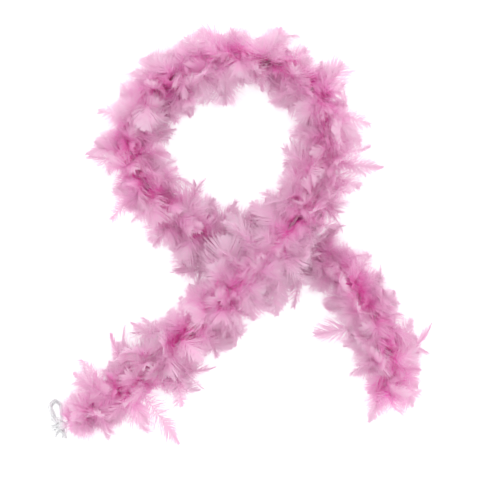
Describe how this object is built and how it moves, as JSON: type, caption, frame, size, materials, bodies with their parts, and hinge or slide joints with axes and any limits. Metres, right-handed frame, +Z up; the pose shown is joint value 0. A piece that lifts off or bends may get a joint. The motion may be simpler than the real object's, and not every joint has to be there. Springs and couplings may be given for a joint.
{
  "type": "feather boa",
  "caption": "Fluffy feather boa on a cotton cord, laid down in a crossed loop, with two tails that bend and a tied cord loop at one end.",
  "frame": {"origin": "on the table, under the middle of the boa's outline", "axes": "+Z up from the table it lies on; +Y from the two tails to the top of the loop; the tied cord loop is at -X, -Y"},
  "size_m": [0.639, 0.7071, 0.1076],
  "materials": {
    "feathers": "dyed down and flat feathers, pale pink tips over magenta down",
    "binding_thread": "dyed sewing thread over quills",
    "cotton_cord": "undyed twisted cotton yarn"
  },
  "bodies": {
    "crossing": {"core_upper_strand": "cotton_cord", "core_lower_strand": "cotton_cord", "feather_bunch_04": "feathers", "thread_wrap_04": "binding_thread", "feather_bunch_05": "feathers", "thread_wrap_05": "binding_thread", "feather_bunch_06": "feathers", "thread_wrap_06": "binding_thread", "feather_bunch_07": "feathers", "thread_wrap_07": "binding_thread", "feather_bunch_16": "feathers", "thread_wrap_16": "binding_thread", "feather_bunch_17": "feathers", "thread_wrap_17": "binding_thread", "feather_bunch_18": "feathers", "thread_wrap_18": "binding_thread", "feather_bunch_19": "feathers", "thread_wrap_19": "binding_thread"},
    "loop_base": {"core_loop_base_right": "cotton_cord", "core_loop_base_left": "cotton_cord", "feather_bunch_08": "feathers", "thread_wrap_08": "binding_thread", "feather_bunch_15": "feathers", "thread_wrap_15": "binding_thread"},
    "loop_top": {"core_loop_top": "cotton_cord", "feather_bunch_09": "feathers", "thread_wrap_09": "binding_thread", "feather_bunch_10": "feathers", "thread_wrap_10": "binding_thread", "feather_bunch_11": "feathers", "thread_wrap_11": "binding_thread", "feather_bunch_12": "feathers", "thread_wrap_12": "binding_thread", "feather_bunch_13": "feathers", "thread_wrap_13": "binding_thread", "feather_bunch_14": "feathers", "thread_wrap_14": "binding_thread"},
    "left_tail_1": {"core_left_tail_1": "cotton_cord", "feather_bunch_03": "feathers", "thread_wrap_03": "binding_thread"},
    "left_tail_2": {"core_left_tail_2": "cotton_cord", "feather_bunch_02": "feathers", "thread_wrap_02": "binding_thread"},
    "left_tail_3": {"core_left_tail_3": "cotton_cord", "feather_bunch_01": "feathers", "thread_wrap_01": "binding_thread", "loop_knot": "cotton_cord", "cut_ends": "cotton_cord"},
    "tied_loop": {"end_loop": "cotton_cord"},
    "right_tail_1": {"core_right_tail_1": "cotton_cord", "feather_bunch_20": "feathers", "thread_wrap_20": "binding_thread"},
    "right_tail_2": {"core_right_tail_2": "cotton_cord", "feather_bunch_21": "feathers", "thread_wrap_21": "binding_thread"},
    "right_tail_3": {"core_right_tail_3": "cotton_cord", "feather_bunch_22": "feathers", "thread_wrap_22": "binding_thread", "end_knot": "cotton_cord"}
  },
  "joints": [
    {"name": "loop_base_fold", "type": "hinge", "parent": "crossing", "child": "loop_base", "pos_m": [0.13601, 0.0861, 0.05736], "axis": [0.9989, 0.0008, 0.0473], "range_deg": [0, 45]},
    {"name": "loop_top_fold", "type": "hinge", "parent": "loop_base", "child": "loop_top", "pos_m": [0.15624, 0.15312, 0.044], "axis": [1, 0.0009, 0], "range_deg": [0, 45]},
    {"name": "left_tail_root_sway", "type": "hinge", "parent": "crossing", "child": "left_tail_1", "pos_m": [-0.08148, -0.17221, 0.044], "axis": [0, 0, 1], "range_deg": [-24, 24]},
    {"name": "left_tail_lift", "type": "hinge", "parent": "left_tail_1", "child": "left_tail_2", "pos_m": [-0.14172, -0.22733, 0.044], "axis": [-0.6097, 0.7926, 0], "range_deg": [0, 40]},
    {"name": "left_tail_tip_sway", "type": "hinge", "parent": "left_tail_2", "child": "left_tail_3", "pos_m": [-0.20914, -0.27353, 0.04389], "axis": [0, 0, 1], "range_deg": [-24, 24]},
    {"name": "tied_loop_flop", "type": "hinge", "parent": "left_tail_3", "child": "tied_loop", "pos_m": [-0.2893, -0.32215, 0.01202], "axis": [0.9854, 0.1701, 0], "range_deg": [0, 100]},
    {"name": "right_tail_root_sway", "type": "hinge", "parent": "crossing", "child": "right_tail_1", "pos_m": [0.17833, -0.05592, 0.03545], "axis": [0, 0, 1], "range_deg": [-24, 24]},
    {"name": "right_tail_lift", "type": "hinge", "parent": "right_tail_1", "child": "right_tail_2", "pos_m": [0.22172, -0.11701, 0.044], "axis": [-0.8681, -0.4964, 0], "range_deg": [0, 40]},
    {"name": "right_tail_tip_sway", "type": "hinge", "parent": "right_tail_2", "child": "right_tail_3", "pos_m": [0.25577, -0.18399, 0.044], "axis": [0, 0, 1], "range_deg": [-24, 24]}
  ]
}
